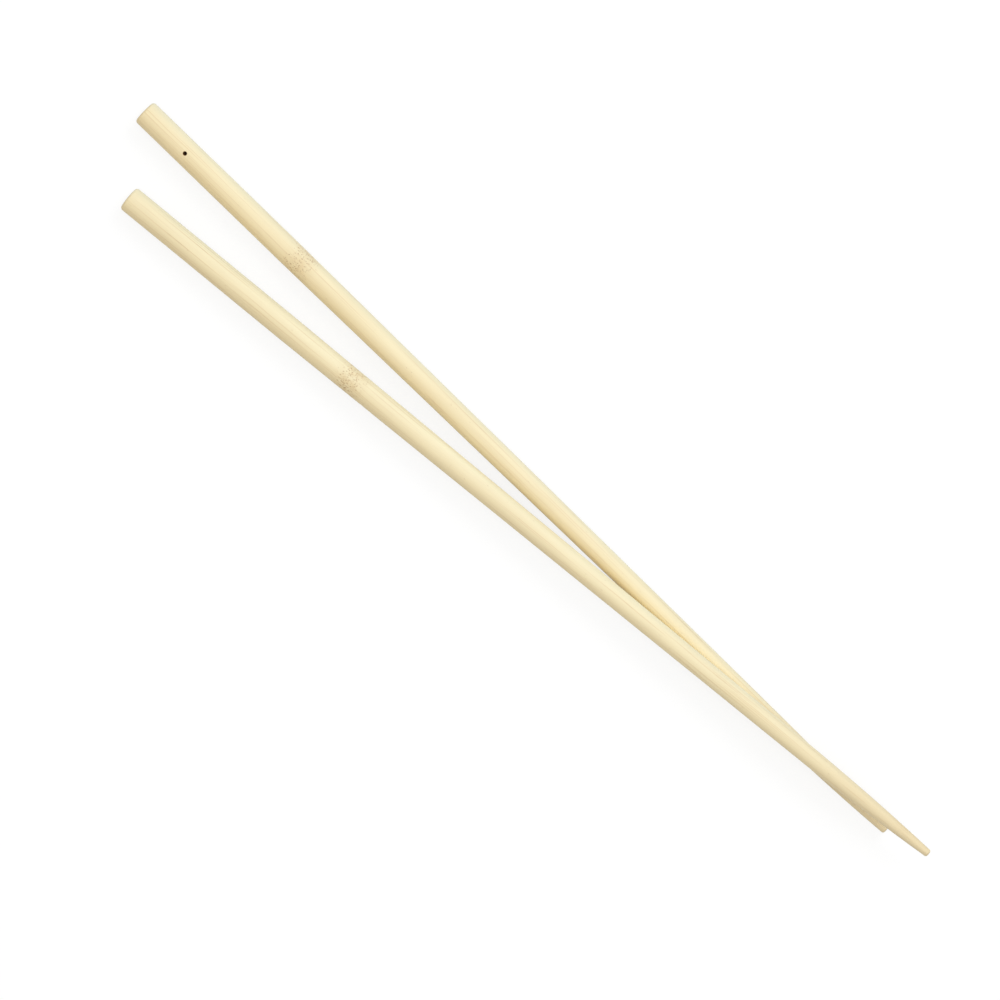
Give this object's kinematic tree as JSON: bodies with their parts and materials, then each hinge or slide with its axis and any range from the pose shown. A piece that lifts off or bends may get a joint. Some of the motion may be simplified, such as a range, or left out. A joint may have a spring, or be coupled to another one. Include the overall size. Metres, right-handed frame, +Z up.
{
  "type": "bamboo chopsticks",
  "caption": "Long round tapered bamboo chopsticks for cooking or serving, lying crossed near their blunt points, with a small cord hole through each near its butt.",
  "frame": {"origin": "middle of the pair's outline seen from above, on the surface that the sticks lie on", "axes": "+X from the butts to the points, +Y towards the butt of the stick that lies flat, +Z up"},
  "size_m": [0.4382, 0.0413, 0.0159],
  "materials": {
    "bamboo": "satin"
  },
  "bodies": {
    "root": {"bottom_chopstick": "bamboo", "top_chopstick": "bamboo"}
  },
  "joints": []
}
